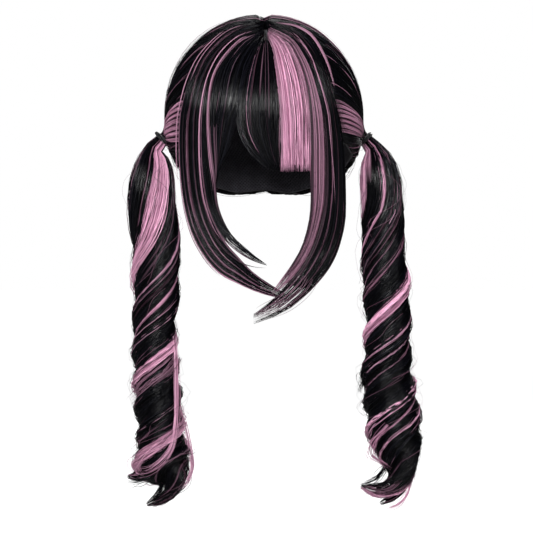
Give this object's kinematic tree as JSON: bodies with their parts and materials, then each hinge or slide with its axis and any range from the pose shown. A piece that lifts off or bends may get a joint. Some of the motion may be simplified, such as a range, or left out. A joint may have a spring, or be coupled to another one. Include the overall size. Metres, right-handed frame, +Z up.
{
  "type": "twin-tail costume wig",
  "caption": "Wig with a parted crown, a swept fringe, long locks that frame the face and ringlet tails held by hair ties.",
  "frame": {"origin": "top of the head inside the cap, where the wig sits", "axes": "+Z up, -Y towards the face, +X to the right as the wig is seen from the front"},
  "size_m": [0.2724, 0.2084, 0.4499],
  "materials": {
    "black_hair": "smooth synthetic hair, satin",
    "pink_hair": "smooth synthetic hair, satin",
    "net_cap": "stretch net",
    "elastic": "braided cord"
  },
  "bodies": {
    "root": {"wig_cap": "net_cap", "crown_hair_left": "black_hair", "crown_hair_right": "black_hair", "temple_strand_left": "pink_hair", "temple_strand_right": "pink_hair", "hair_tie_left": "elastic", "hair_tie_right": "elastic", "tail_left": "black_hair", "tail_right": "black_hair", "tail_pink_lock_left": "pink_hair", "tail_pink_lock_right": "pink_hair", "face_lock_left": "black_hair", "face_lock_right": "black_hair", "cheek_lock_left": "black_hair", "cheek_lock_right": "pink_hair", "fringe_left": "black_hair", "fringe_centre": "black_hair", "fringe_pink": "pink_hair"}
  },
  "joints": []
}
